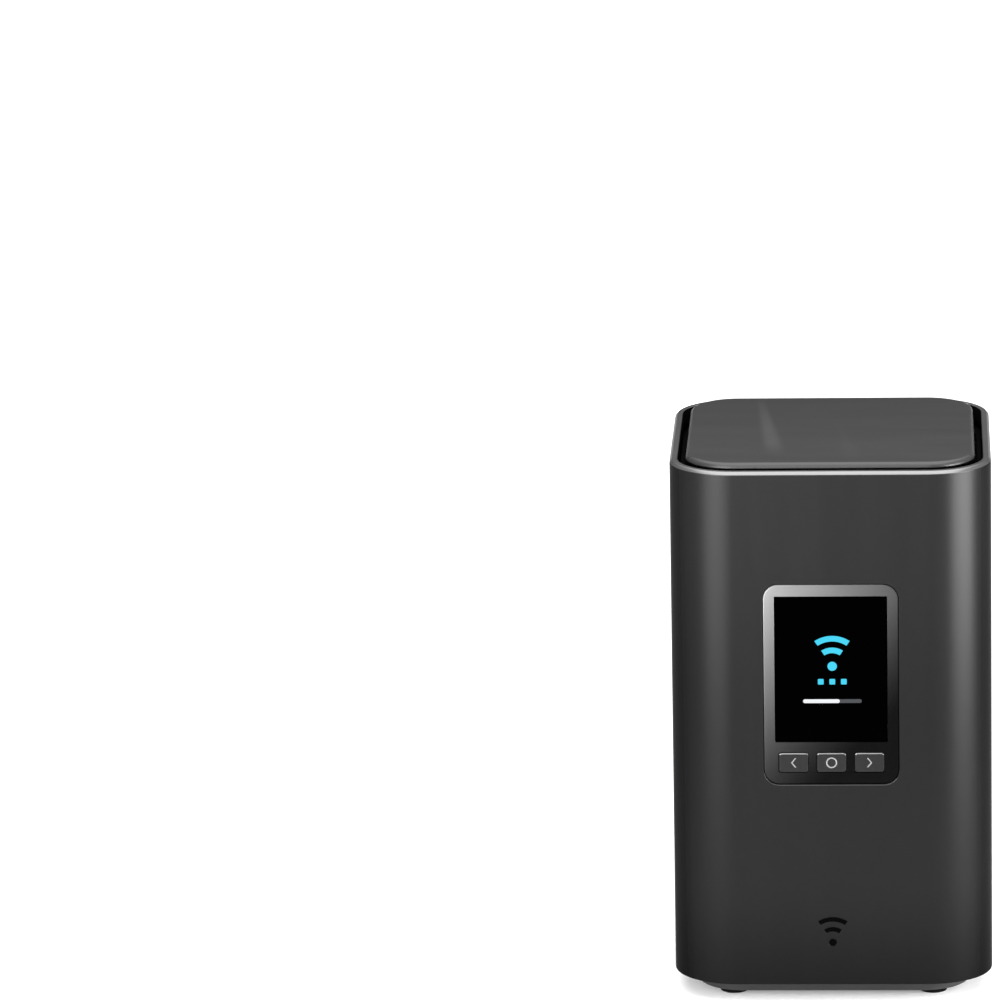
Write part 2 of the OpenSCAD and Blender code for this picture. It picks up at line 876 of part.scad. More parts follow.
module side_switch(z, half_h, bore_r, bore_y) {
    color("#202124") translate([0, 0, z]) difference() {
        block([side_switch_x[0], side_switch_y[0], -half_h],
              [side_switch_x[1], side_switch_y[1], half_h]);
        y_rod(bore_r, bore_y, side_switch_y[1] + 1);
    }
}

module power_switch() {
    side_switch(power_z, power_switch_half, side_plunger_r + hole_gap, side_switch_y[0] + 1.4);
}

module reset_plunger() {
    color("#c23b2e") translate([0, 0, reset_z])
        y_rod(reset_plunger_r, reset_plunger_y[0], reset_plunger_y[1]);
}

module reset_switch() {
    side_switch(reset_z, reset_switch_half, reset_plunger_r + hole_gap, side_switch_y[0] + 2);
}

module sim_tray() {
    pocket_gap = 0.1;
    color("#2c2c2e") translate([tray_x, 0, sim_z]) difference() {
        union() {
            block([-tray_t / 2, tray_y[0], -tray_w / 2],
                  [tray_t / 2, tray_y[1] + eps, tray_w / 2]);
            block([-tray_face_t / 2, tray_y[1], -tray_face_w / 2],
                  [tray_face_t / 2, panel_out_y, tray_face_w / 2]);
        }
        block([card_floor - tray_t / 2, card_y - pocket_gap, -card_w / 2 - pocket_gap],
              [tray_t, card_y + card_l + pocket_gap, card_w / 2 + pocket_gap]);
        translate([0, 0, 1 - tray_face_w / 2])
            y_rod(eject_hole_r, tray_y[1] - 1, panel_out_y + 1);
    }
}

module sim_card() {
    x0 = card_floor - tray_t / 2;
    color("#d9b44a") translate([tray_x, 0, sim_z])
        block([x0, card_y, -card_w / 2], [x0 + card_t, card_y + card_l, card_w / 2]);
}

module sim_reader() {
    slide_gap = 0.2;
    color("#a9abad") difference() {
        block([reader_x[0], reader_y[0], sim_z - reader_w / 2],
              [reader_x[1], reader_y[1], sim_z + reader_w / 2]);
        block([tray_x - tray_t / 2 - slide_gap, reader_y[0] + 1,
               sim_z - tray_w / 2 - slide_gap],
              [tray_x + tray_t / 2 + slide_gap, reader_y[1] + 1,
               sim_z + tray_w / 2 + slide_gap]);
    }
}

// Frame and circuit boards
module ring(width, z0, z1) {
    difference() {
        rounded_prism(frame_w, frame_w, frame_r, z0, z1);
        rounded_prism(frame_w - 2 * width, frame_w - 2 * width, frame_r - width, z0 - 1, z1 + 1);
    }
}

module chassis() {
    color("#6a6c70") difference() {
        union() {
            ring(low_ring_w, flange_top, low_ring_top);
            ring(top_ring_w, top_ring_z, grille_z);
            four_corners(post_at, post_at)
                translate([0, 0, low_ring_top - 1])
                    cylinder(h = top_ring_z - low_ring_top + 2, r = post_r);
            for (z = [low_ring_top - eps, top_ring_z - beam_h])
                block([board_back_x - beam_w, -beam_half_l, z],
                      [board_back_x, beam_half_l, z + beam_h + eps]);
        }
        four_sides(base_screw_at)
            translate([0, 0, flange_top - 1])
                cylinder(h = low_ring_t + 0.5, r = m3_r + thread_gap);
        for (at = board_screw_at)
            translate([board_back_x - board_grip - 0.5, at[0], at[1]]) rotate([0, 90, 0])
                cylinder(h = board_grip + 1.5, r = m25_r + thread_gap);
    }
}

module board_holes(places) {
    for (at = places)
        translate([board_back_x - 1, at[0], at[1]]) rotate([0, 90, 0])
            cylinder(h = board_t + 2, r = m25_r + hole_gap);
}

module main_board() {
    color("#17402b") {
        difference() {
            block([board_back_x, board_y[0], board_z[0]], [board_x, board_y[1], board_z[1]]);
            board_holes(board_screw_at);
            board_holes(main_posts);
            board_holes(modem_posts);
        }
        for (y = memory_y, z = memory_z)
            translate([board_x - eps, y, z]) cube(memory_size + [eps, 0, 0]);
        for (z = capacitor_z)
            translate([board_back_x + eps, capacitor_y, z]) rotate([0, -90, 0])
                cylinder(h = capacitor_l, r = capacitor_r);
    }
}

module modem_module() {
    color("#24506e") {
        block([module_x[0], module_y[0], module_z[0]], [module_x[1], module_y[1], module_z[1]]);
        block([module_shield_x, module_shield_y[0], module_shield_z[0]],
              [module_x[0] + eps, module_shield_y[1], module_shield_z[1]]);
    }
}

module modem_connector() {
    color("#1a1b1d")
        block([module_x[1], module_y[0] + connector_inset, module_z[0]],
              [board_back_x, module_y[1] - connector_inset, module_z[0] + connector_h]);
}

module shield(z) {
    color("#b0b3b6")
        block([board_x, shield_y[0], z[0]], [board_x + shield_t, shield_y[1], z[1]]);
}

module soc_shield() { shield(soc_z); }
module wifi_shield() { shield(wifi_z); }

module thermal_pads() {
    inset = 4;
    color("#8fb2c9") {
        for (z = [soc_z, wifi_z])
            block([main_sink_x - pad_t, shield_y[0] + inset, z[0] + inset],
                  [main_sink_x, shield_y[1] - inset, z[1] - inset]);
        block([modem_sink_x, module_shield_y[0] + inset, module_shield_z[0] + inset],
              [module_shield_x, module_shield_y[1] - inset, module_shield_z[1] - inset]);
    }
}

// A finned block whose base lies on x = 0 and whose fins point to +X
module finned_block(y, z, fins, fin_h) {
    pitch = (y[1] - y[0] - fin_t) / (fins - 1);
    block([0, y[0], z[0]], [sink_base, y[1], z[1]]);
    for (i = [0:fins - 1])
        translate([0, y[0] + i * pitch, 0])
            block([sink_base - eps, 0, z[0]], [sink_base + fin_h, fin_t, z[1]]);
}

module sink_post(at, length) {
    translate([-length, at[0], at[1]]) rotate([0, 90, 0]) cylinder(h = length + eps, r = sink_post_r);
}

module sink_hole(at, length) {
    translate([-length - 1, at[0], at[1]]) rotate([0, 90, 0])
        cylinder(h = length + 2.2, r = m25_r + thread_gap);
}

module main_heatsink() {
    reach = main_sink_x - board_x;
    color("#9ea1a5") translate([main_sink_x, 0, 0]) difference() {
        union() {
            finned_block(main_sink_y, main_sink_z, main_fins, main_fin_h);
            for (at = main_posts)
                sink_post(at, reach);
        }
        for (at = main_posts)
            sink_hole(at, reach);
    }
}

module modem_heatsink() {
    reach = board_back_x - modem_sink_x;
    color("#9ea1a5") translate([modem_sink_x, 0, 0]) mirror([1, 0, 0]) difference() {
        union() {
            finned_block(modem_sink_y, modem_sink_z, modem_fins, modem_fin_h);
            for (at = modem_posts)
                sink_post(at, reach);
        }
        for (at = modem_posts)
            sink_hole(at, reach);
    }
}

// Antennas
module antenna_carrier(side) {
    color("#d6d6d2") scale([side, 1, 1]) difference() {
        block([carrier_x[0], -carrier_half_w, low_ring_top],
              [carrier_x[1], carrier_half_w, top_ring_z]);
        for (z = carrier_windows)
            block([carrier_x[0] - 1, -carrier_window_half, z[0]],
                  [carrier_x[1] + 1, carrier_window_half, z[1]]);
    }
}

module left_antenna_carrier() { antenna_carrier(-1); }
module right_antenna_carrier() { antenna_carrier(1); }

module antenna_pair(half_w, z) {
    for (side = [0, 1])
        mirror([side, 0, 0])
            block([carrier_x[1], -half_w, z[0]], [carrier_x[1] + antenna_t, half_w, z[1]]);
}

module cellular_antennas() {
    color("#c08a3e") for (z = cell_z) antenna_pair(cell_half_w, z);
}

module wifi_antennas() {
    color("#c08a3e") antenna_pair(wifi_half_w, wifi_antenna_z);
}

module quarter_bend() {
    rotate_extrude(angle = 90) translate([cable_bend_r, 0]) circle(cable_r);
}

// A lead from the carrier on the right to x = end_x, with two round bends
module antenna_cable(end_x, z) {
    outer_x = cable_x + cable_bend_r;
    inner_x = cable_x - cable_bend_r;
    front_bend_y = cable_y[0] + cable_bend_r;
    rear_bend_y = cable_y[1] - cable_bend_r;
    translate([outer_x, cable_y[0], z]) rotate([0, 90, 0])
        cylinder(h = carrier_x[0] - outer_x, r = cable_r);
    translate([outer_x, front_bend_y, z]) rotate(180) quarter_bend();
    translate([cable_x, 0, z]) y_rod(cable_r, front_bend_y, rear_bend_y);
    translate([inner_x, rear_bend_y, z]) quarter_bend();
    translate([end_x, cable_y[1], z]) rotate([0, 90, 0])
        cylinder(h = inner_x - end_x, r = cable_r);
}

module antenna_cables() {
    color("#141415") for (z = cable_z) {
        antenna_cable(board_x, z);
        mirror([1, 0, 0]) antenna_cable(-board_back_x, z);
    }
}

// Fasteners
module base_screws() {
    color("#55575a") four_sides(base_screw_at)
        translate([0, 0, foot_h + m3_head_h + head_sink])
            screw(m3_head_r, m3_head_h, m3_r, flange_top + base_grip - foot_h - m3_head_h);
}

module plate_screws() {
    color("#55575a") four_corners(plate_screw_at, plate_screw_at)
        translate([0, 0, grille_z]) screw(m25_head_r, m25_head_h, m25_r, grille_t + plate_grip);
}

module bracket_screws() {
    color("#55575a")
        for (x = [-ear_x, ear_x], z = ear_z)
            translate([x, bracket_back_y, z]) rotate([90, 0, 0])
                screw(m2_head_r, m2_head_h, m2_r, bracket_back_y - wall_in_y);
}

module board_screws() {
    color("#55575a")
        for (at = board_screw_at)
            translate([board_x, at[0], at[1]]) rotate([0, -90, 0])
                screw(m25_head_r, m25_head_h, m25_r, board_t + board_grip);
}

module main_heatsink_screws() {
    color("#55575a")
        for (at = main_posts)
            translate([board_back_x, at[0], at[1]]) rotate([0, 90, 0])
                screw(m25_head_r, m25_head_h, m25_r, board_t + main_sink_grip);
}

module modem_heatsink_screws() {
    color("#55575a")
        for (at = modem_posts)
            translate([board_x, at[0], at[1]]) rotate([0, -90, 0])
                screw(m25_head_r, m25_head_h, m25_r, board_t + modem_sink_grip);
}

outer_shell();
top_plate();
vent_grille();
base_tray();
rubber_feet();
rating_label();
display_bezel();
display_glass();
lcd_panel();
display_bracket();
front_emblem();
left_key();
home_key();
right_key();
left_key_legend();
home_key_legend();
right_key_legend();
left_key_plunger();
home_key_plunger();
right_key_plunger();
key_board();
key_switches();
key_flex();
display_flex();
io_panel();
lan_jack_lower();
lan_jack_upper();
lan_contacts();
lan_leds();
usb_c_inlet();
usb_c_tongue();
power_button();
power_plunger();
power_switch();
reset_plunger();
reset_switch();
sim_tray();
sim_card();
sim_reader();
chassis();
main_board();
modem_module();
modem_connector();
soc_shield();
wifi_shield();
thermal_pads();
main_heatsink();
modem_heatsink();
left_antenna_carrier();
right_antenna_carrier();
cellular_antennas();
wifi_antennas();
antenna_cables();
base_screws();
plate_screws();
bracket_screws();
board_screws();
main_heatsink_screws();
modem_heatsink_screws();
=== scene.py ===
"""A tower-shaped cellular gateway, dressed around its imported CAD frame.

Lengths are metres in the frame's axes: +Z up, the display faces -Y. Every place and size comes
from the CAD nodes' boxes; the few sizes that boxes cannot tell are named below.
"""

import json
import math

import bmesh
import bpy
from mathutils import Matrix, Vector


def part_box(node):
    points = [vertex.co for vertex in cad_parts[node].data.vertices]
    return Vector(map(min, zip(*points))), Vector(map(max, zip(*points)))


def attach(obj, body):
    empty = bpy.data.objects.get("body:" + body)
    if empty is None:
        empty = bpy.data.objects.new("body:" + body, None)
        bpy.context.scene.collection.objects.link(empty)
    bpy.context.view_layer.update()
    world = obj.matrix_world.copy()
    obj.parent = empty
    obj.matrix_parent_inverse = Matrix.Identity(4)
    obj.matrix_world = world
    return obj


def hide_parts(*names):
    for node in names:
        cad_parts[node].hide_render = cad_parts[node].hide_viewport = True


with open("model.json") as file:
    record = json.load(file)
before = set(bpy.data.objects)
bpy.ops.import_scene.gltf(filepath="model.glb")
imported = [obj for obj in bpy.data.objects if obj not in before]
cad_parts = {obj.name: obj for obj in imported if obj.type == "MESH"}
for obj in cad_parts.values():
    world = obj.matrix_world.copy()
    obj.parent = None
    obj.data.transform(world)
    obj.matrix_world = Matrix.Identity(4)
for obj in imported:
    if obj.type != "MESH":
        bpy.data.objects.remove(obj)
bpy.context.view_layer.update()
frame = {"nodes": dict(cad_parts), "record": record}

MM = 0.001
CORNER_STEPS = 28
SHARP_ANGLE = math.radians(32)

# Sleeve and base
SHELL_RADIUS = 24.5 * MM
SHELL_WALL = 2.5 * MM
RIM_WALL = 3.1 * MM
RIM_BAND = 6.0 * MM
RIM_CHAMFER = 1.1 * MM
LIP_HEIGHT = 2.0 * MM
BASE_WIDTH = 105.0 * MM
BASE_RADIUS = 18.0 * MM
BASE_GAP = 0.5 * MM
FOOT_RADIUS = 5.5 * MM

# Recesses of the bezel and of the socket panel
RECESS_DEPTH = 1.5 * MM
RECESS_GAP = 0.2 * MM
RECESS_SOFT = 0.35 * MM
BEZEL_RADIUS = 5.8 * MM
BEZEL_LEDGE = 1.8 * MM
BEZEL_THICKNESS = 1.1 * MM
PANEL_RADIUS = 5.0 * MM
PANEL_LEDGE = 2.3 * MM
PANEL_THICKNESS = 3.6 * MM

# The screen's window leaves a rim of the glass under the bezel; the glass then stands clear of it
GLASS_RIM_X = 1.0 * MM
GLASS_RIM_Z = 0.9 * MM
GLASS_GAP = 0.1 * MM
GLASS_THICKNESS = 1.2 * MM

# Top plate
PLATE_RADIUS = 18.5 * MM
PLATE_EDGE = 2.0 * MM
PLATE_THICKNESS = 3.0 * MM
PLATE_SKIRT = 7.0 * MM
SKIRT_WALL = 2.5 * MM

# The top plate's faint streaks, painted reflections: (x, y) of the start and the end in
# millimetres, and the gain
PAINTED_REFLECTION_STREAKS = (((-27.1, 38), (-21.5, -32), 0.42),
           ((5, -10), (8, -42), 0.1))

# Keys, buttons and sockets: the boxes of keys also hold the flange behind the face
KEYS = ("left_key", "home_key", "right_key")
JACKS = ("lan_jack_lower", "lan_jack_upper")
KEY_FLANGE = 0.7 * MM
KEY_RADIUS = 1.0 * MM
KEY_GAP = 0.25 * MM
KEY_BEVEL = 0.38 * MM
POWER_RADIUS = 4.5 * MM
POWER_GAP = 0.15 * MM
POWER_FLANGE = 0.9 * MM
SOCKET_GAP = 0.3 * MM
TRAY_GAP = 0.2 * MM
PINHOLE_RADIUS = 0.9 * MM

# The emblem: a dot under two arcs, standing on the dot
EMBLEM_LINE = 1.8 * MM
EMBLEM_GAP = 4.0 * MM
EMBLEM_DOT = 1.5 * MM
EMBLEM_DEPTH = 0.3 * MM
SIGN_ANGLE = math.radians(34)

# Local axes of a face: X right and Y up as its viewer sees them, Z outwards
FRONT = Matrix(((1, 0, 0, 0), (0, 0, -1, 0), (0, 1, 0, 0), (0, 0, 0, 1)))
REAR = Matrix(((-1, 0, 0, 0), (0, 0, 1, 0), (0, 1, 0, 0), (0, 0, 0, 1)))


# ---------------------------------------------------------------- outlines

def rounded_loop(w, h, r, steps=8, cx=0.0, cy=0.0):
    """A rounded rectangle as points, anticlockwise from its lower right corner."""
    points = []
    for turn, (sx, sy) in enumerate(((1, -1), (1, 1), (-1, 1), (-1, -1))):
        for i in range(steps + 1):
            a = math.radians(90) * (turn - 1 + i / steps)
            points.append((cx + sx * (w / 2 - r) + r * math.cos(a),
                           cy + sy * (h / 2 - r) + r * math.sin(a)))
    return points


def circle_loop(r, steps=40, cx=0.0, cy=0.0):
    angles = [2 * math.pi * i / steps for i in range(steps)]
    return [(cx + r * math.cos(a), cy + r * math.sin(a)) for a in angles]


def arc_band(outer, inner, half_angle, steps, cx, cy, middle=math.pi / 2):
    """A band of a ring, to both sides of the direction middle."""
    angles = [middle + half_angle * (2 * i / steps - 1) for i in range(steps + 1)]
    there = [(cx + outer * math.cos(a), cy + outer * math.sin(a)) for a in angles]
    back = [(cx + inner * math.cos(a), cy + inner * math.sin(a)) for a in reversed(angles)]
    return there + back


def radio_outlines(r, line, gap, dot, cx, cy):
    """A dot under two arcs, as closed outlines."""
    return [circle_loop(dot, 32, cx, cy),
            arc_band(r - gap, r - gap - line, SIGN_ANGLE, 16, cx, cy),
            arc_band(r, r - line, SIGN_ANGLE, 24, cx, cy)]


def emblem_outlines():
    low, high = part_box("front_emblem")
    foot = low.z + EMBLEM_DOT
    return radio_outlines(high.z - foot, EMBLEM_LINE, EMBLEM_GAP, EMBLEM_DOT, 0.0, foot)


# ---------------------------------------------------------------- mesh building

def add_loop(bm, points, z):
    return [bm.verts.new((x, y, z)) for x, y in points]


def bridge(bm, a, b):
    n = len(a)
    for i in range(n):
        bm.faces.new((a[i], a[(i + 1) % n], b[(i + 1) % n], b[i]))


def bridge_all(bm, loops):
    for a, b in zip(loops, loops[1:]):
        bridge(bm, a, b)


def fill(bm, loops, normal=(0, 0, 1)):
    """Fills the flat region between an outer loop and the loops inside it."""
    edges = []
    for loop in loops:
        for i in range(len(loop)):
            a, b = loop[i], loop[(i + 1) % len(loop)]
            edges.append(bm.edges.get((a, b)) or bm.edges.new((a, b)))
    bmesh.ops.triangle_fill(bm, use_beauty=True, edges=edges, normal=normal)


def finish_mesh(bm, name, materials, body, replaces=(), place=None, pick=None):
    """Turns a bmesh into a piece with smooth shading that breaks at sharp edges."""
    bmesh.ops.remove_doubles(bm, verts=bm.verts, dist=1e-7)
    bmesh.ops.recalc_face_normals(bm, faces=bm.faces)
    if place is not None:
        bmesh.ops.transform(bm, matrix=place, verts=bm.verts)
    for face in bm.faces:
        face.smooth = True
        if pick is not None:
            face.material_index = pick(face)
    for edge in bm.edges:
        if len(edge.link_faces) == 2 and edge.calc_face_angle(0) > SHARP_ANGLE:
            edge.smooth = False
    mesh = bpy.data.meshes.new(name)
    bm.to_mesh(mesh)
    bm.free()
    for material in materials:
        mesh.materials.append(material)
    piece = bpy.data.objects.new(name, mesh)
    bpy.context.scene.collection.objects.link(piece)
    weighted = piece.modifiers.new("even_normals", "WEIGHTED_NORMAL")
    weighted.keep_sharp = True
    weighted.weight = 100
    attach(piece, body)
    if replaces:
        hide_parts(*replaces)


def cap(bm, loops):
    """Closes a stack of loops at both ends."""
    bm.faces.new(loops[0])
    bm.faces.new(loops[-1])


def turned(bm, profile, cx, cy, steps=48):
    """A solid of revolution about Z: profile is (radius, height) from bottom to top."""
    loops = [add_loop(bm, circle_loop(r, steps, cx, cy), z) for r, z in profile]
    bridge_all(bm, loops)
    cap(bm, loops)


def plate_loops(bm, w, h, r, profile, steps, cx=0.0, cy=0.0, least_r=0.01 * MM):
    """The side of a rounded block: profile is (inset, height) from bottom to top."""
    loops = []
    for inset, z in profile:
        corner = max(r - inset, least_r)
        points = rounded_loop(w - 2 * inset, h - 2 * inset, corner, steps, cx, cy)
        loops.append(add_loop(bm, points, z))
    bridge_all(bm, loops)
    return loops


def flat_glyphs(name, outlines, depth, thickness, material, place, replaces=()):
    """Thin shapes standing on a face; depth is their outer surface along the outward axis."""
    bm = bmesh.new()
    for points in outlines:
        back = add_loop(bm, points, depth - thickness)
        face = add_loop(bm, points, depth)
        bridge(bm, back, face)
        fill(bm, [back])
        fill(bm, [face])
    finish_mesh(bm, name, [material], "enclosure", replaces, place)


def hole_walls(bm, points_at, top, bottom, soft):
    """A hole's wall from its softened mouth down; returns its mouth and its foot."""
    stages = [(-soft, top), (-soft * 0.3, top - soft * 0.3), (0.0, top - soft), (0.0, bottom)]
    rings = [add_loop(bm, points_at(inset), z) for inset, z in stages]
    bridge_all(bm, rings)
    return rings[0], rings[-1]


def plate_with_holes(name, outer, r, holes, top, bottom, soft, material, place, replaces):
    """A rounded plate with a bevelled edge; holes are functions from inset to points."""
    w, h, cx, cy = outer
    bevel = 0.4 * MM
    profile = [(0, bottom), (0, top - bevel), (bevel * 0.3, top - bevel * 0.3), (bevel, top)]
    bm = bmesh.new()
    loops = plate_loops(bm, w, h, r, profile, 10, cx, cy)
    ends = [hole_walls(bm, points_at, top, bottom, soft) for points_at in holes]
    fill(bm, [loops[-1]] + [mouth for mouth, foot in ends])
    fill(bm, [loops[0]] + [foot for mouth, foot in ends])
    finish_mesh(bm, name, [material], "enclosure", replaces, place)


def rect_hole(w, h, r, cx, cy, steps=5):
    return lambda inset: rounded_loop(w - 2 * inset, h - 2 * inset, max(r - inset, 0.05 * MM),
                                      steps, cx, cy)


def round_hole(r, cx, cy):
    return lambda inset: circle_loop(r - inset, 40, cx, cy)


# ---------------------------------------------------------------- shader nodes

def feed(tree, socket, value):
    """Links an input to a socket, or sets it to a plain value."""
    if isinstance(value, bpy.types.NodeSocket):
        tree.links.new(value, socket)
    else:
        socket.default_value = value


def node(tree, kind, inputs=None, **settings):
    """Adds a node with its settings; each of its inputs is fed a socket or a value."""
    made = tree.nodes.new(kind)
    for key, value in settings.items():
        setattr(made, key, value)
    for key, value in (inputs or {}).items():
        feed(tree, made.inputs[key], value)
    return made


def maths(tree, operation, *values):
    made = node(tree, "ShaderNodeMath", dict(enumerate(values)), operation=operation)
    return made.outputs["Value"]


def remap(tree, value, low, high, to_low=0.0, to_high=1.0, steps="LINEAR"):
    """Maps low to high onto to_low to to_high, and stays within them."""
    made = node(tree, "ShaderNodeMapRange", {"Value": value, "From Min": low, "From Max": high,
                                             "To Min": to_low, "To Max": to_high},
                interpolation_type=steps)
    return made.outputs["Result"]


def toned(tree, colour, tone):
    """A colour made lighter or darker."""
    made = node(tree, "ShaderNodeVectorMath", {0: colour, "Scale": tone}, operation="SCALE")
    return made.outputs["Vector"]


def colour_mix(tree, a, b, factor):
    mixed = node(tree, "ShaderNodeMix", {0: factor}, data_type="RGBA")
    colours = [s for s in mixed.inputs if s.type == "RGBA"]
    feed(tree, colours[0], a)
    feed(tree, colours[1], b)
    return next(s for s in mixed.outputs if s.type == "RGBA")


def axes(tree, place):
    """The X, Y and Z of a place."""
    split = node(tree, "ShaderNodeSeparateXYZ", {"Vector": place})
    return split.outputs["X"], split.outputs["Y"], split.outputs["Z"]


def scaled(colour, k):
    return tuple(min(1.0, c * k) for c in colour[:3]) + (1.0,)


def new_material(name, shader_inputs):
    """A material with one Principled shader; returns it, its shader and its object place."""
    material = bpy.data.materials.new(name)
    material.use_nodes = True
    tree = material.node_tree
    tree.nodes.clear()
    shader = node(tree, "ShaderNodeBsdfPrincipled", shader_inputs)
    node(tree, "ShaderNodeOutputMaterial", {"Surface": shader.outputs["BSDF"]})
    return material, shader, node(tree, "ShaderNodeTexCoord").outputs["Object"]


def colour_with_wear_and_painted_light(tree, place, colour, cloudy, rounded, mottle, edge, edge_gain, painted_shade_steps):
    """A colour that is mottled, darker towards the bottom by painted shade, and lighter on edges
    that are painted partly as wear and partly as a sheen.
    """
    tint = colour_mix(tree, scaled(colour, 1 - mottle), scaled(colour, 1 + mottle), cloudy)
    # Painted shade: each step darkens the colour towards the bottom.
    for low, high, tone in painted_shade_steps:
        height = axes(tree, place)[2]
        tint = toned(tree, tint, remap(tree, height, low * MM, high * MM, tone, 1.0, "SMOOTHSTEP"))
    real = node(tree, "ShaderNodeNewGeometry").outputs["Normal"]
    turn = node(tree, "ShaderNodeVectorMath", {0: rounded, 1: real}, operation="DOT_PRODUCT")
    # Edges painted lighter, partly as wear and partly as a painted sheen.
    worn_and_sheen = remap(tree, turn.outputs["Value"], 0.995, 0.85, 0.0, edge)
    patchy = maths(tree, "MULTIPLY", worn_and_sheen, remap(tree, cloudy, 0.0, 1.0, 0.6, 1.4))
    return colour_mix(tree, tint, scaled(colour, edge_gain), patchy)


def surface(name, colour, rough, metal=0.0, specular=0.5, grain=0.3, grain_height=0.01,
            mottle=0.08, rough_spread=0.06, stretch=(1, 1, 1), edge=0.25, edge_radius=0.35,
            edge_gain=1.35, coat=0.0, glance=1.0, drift=(1, 1, 1), painted_shade_steps=(), painted_light=None,
            emission=0.0):
    """A procedural finish. grain, grain_height and edge_radius are in millimetres.

    grain is the size of the surface texture, mottle the share by which colour varies over
    centimetres, stretch and drift the pull of grain and mottle along X, Y and Z, edge how much
    lighter the edges are painted, partly as wear and partly as a painted sheen, and glance how much
    of a metal's gloss stays at grazing angles. The steps of painted shade are (low, high, tone at
    low) in millimetres of height: the colour is darker towards the bottom and rises to its full
    tone between them. The painted light or shade by place turns the colour into another, and makes
    it alone where colour is None.
    """
    material, shader, place = new_material(name, {
        "Metallic": metal, "Specular IOR Level": specular, "Coat Weight": coat,
        "Coat Roughness": 0.2, "Specular Tint": (glance, glance, glance, 1.0),
        "Emission Strength": emission})
    tree = material.node_tree

    pulled = node(tree, "ShaderNodeMapping", {"Vector": place, "Scale": stretch})
    fine = node(tree, "ShaderNodeTexNoise", {"Vector": pulled.outputs["Vector"],
                                             "Scale": 1 / (grain * MM), "Detail": 3.0,
                                             "Roughness": 0.6})
    drifted = node(tree, "ShaderNodeMapping", {"Vector": place, "Scale": drift})
    clouds = node(tree, "ShaderNodeTexNoise", {"Vector": drifted.outputs["Vector"],
                                               "Scale": 35.0, "Detail": 4.0, "Roughness": 0.55})
    cloudy = clouds.outputs["Fac"]
    rounded = node(tree, "ShaderNodeBevel", {"Radius": edge_radius * MM}, samples=4)
    bump = node(tree, "ShaderNodeBump", {"Strength": 1.0, "Distance": grain_height * MM,
                                         "Height": fine.outputs["Fac"],
                                         "Normal": rounded.outputs["Normal"]})
    feed(tree, shader.inputs["Normal"], bump.outputs["Normal"])

    tint = None
    if colour is not None:
        tint = colour_with_wear_and_painted_light(tree, place, colour, cloudy, rounded.outputs["Normal"], mottle, edge,
                           edge_gain, painted_shade_steps)
    # Painted light or shade by place, where a finish has it.
    if painted_light is not None:
        tint = painted_light(tree, place, tint)
    feed(tree, shader.inputs["Base Color"], tint)
    feed(tree, shader.inputs["Roughness"],
         remap(tree, cloudy, 0.0, 1.0, rough - rough_spread, rough + rough_spread))
    return material


def glow(name, colour, strength):
    """A lit part of the screen's picture."""
    material, shader, place = new_material(name, {
        "Base Color": scaled(colour, 0.05), "Roughness": 0.4, "Specular IOR Level": 0.1,
        "Emission Strength": strength})
    tree = material.node_tree
    pixels = node(tree, "ShaderNodeTexNoise", {"Vector": place, "Scale": 4000.0, "Detail": 1.0})
    feed(tree, shader.inputs["Emission Color"],
         colour_mix(tree, scaled(colour, 0.88), scaled(colour, 1.0), pixels.outputs["Fac"]))
    return material


# ---------------------------------------------------------------- finishes

def painted_bezel_reflection(tree, place, _):
    """A painted reflection: a grey that runs from light at the bezel's upper left to dark at its
    lower right.
    """
    low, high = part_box("display_bezel")
    x, _, z = axes(tree, place)
    across = remap(tree, x, low.x, high.x)
    up = remap(tree, z, low.z, high.z)
    slant = maths(tree, "MULTIPLY_ADD", across, -0.63, up)
    lightness = remap(tree, slant, -0.25, 1.0, 0.06, 0.546)
    grey = maths(tree, "POWER", lightness, 2.2)
    made = node(tree, "ShaderNodeCombineColor", {"Red": grey, "Green": grey, "Blue": grey})
    return made.outputs["Color"]


def painted_reflection_streak(tree, x, y, start, end, gain):
    """The tone of a faint streak of painted reflection that widens from start to end, (x, y) in
    millimetres.
    """
    rise, fall = 35 * MM, 14 * MM
    from_y, to_y = start[1] * MM, end[1] * MM
    lean = (end[0] - start[0]) / (end[1] - start[1])
    middle = maths(tree, "MULTIPLY_ADD", y, -lean, (lean * start[1] - start[0]) * MM)
    away = maths(tree, "ABSOLUTE", maths(tree, "ADD", x, middle))
    width = remap(tree, y, from_y, to_y, 2.0 * MM, 4.2 * MM)
    band = remap(tree, maths(tree, "DIVIDE", away, width), 1.3, 0.2, 0.0, gain, "SMOOTHSTEP")
    before_end = remap(tree, y, to_y - fall, to_y + fall, steps="SMOOTHSTEP")
    past_start = remap(tree, y, from_y + rise, from_y - rise, steps="SMOOTHSTEP")
    return maths(tree, "MULTIPLY_ADD", band, maths(tree, "MULTIPLY", before_end, past_start), 1.0)


def plate_painted_light(tree, place, colour):
    """Paints shade that darkens the plate towards its back, and adds its faint streaks of painted
    reflection.
    """
    low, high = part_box("top_plate")
    x, y, _ = axes(tree, place)
    # Painted shade: darker towards the back.
    colour = toned(tree, colour, remap(tree, y, low.y, high.y, 1.06, 0.86))
    # Painted reflections: the faint streaks.
    for start, end, gain in PAINTED_REFLECTION_STREAKS:
        colour = toned(tree, colour, painted_reflection_streak(tree, x, y, start, end, gain))
    return colour


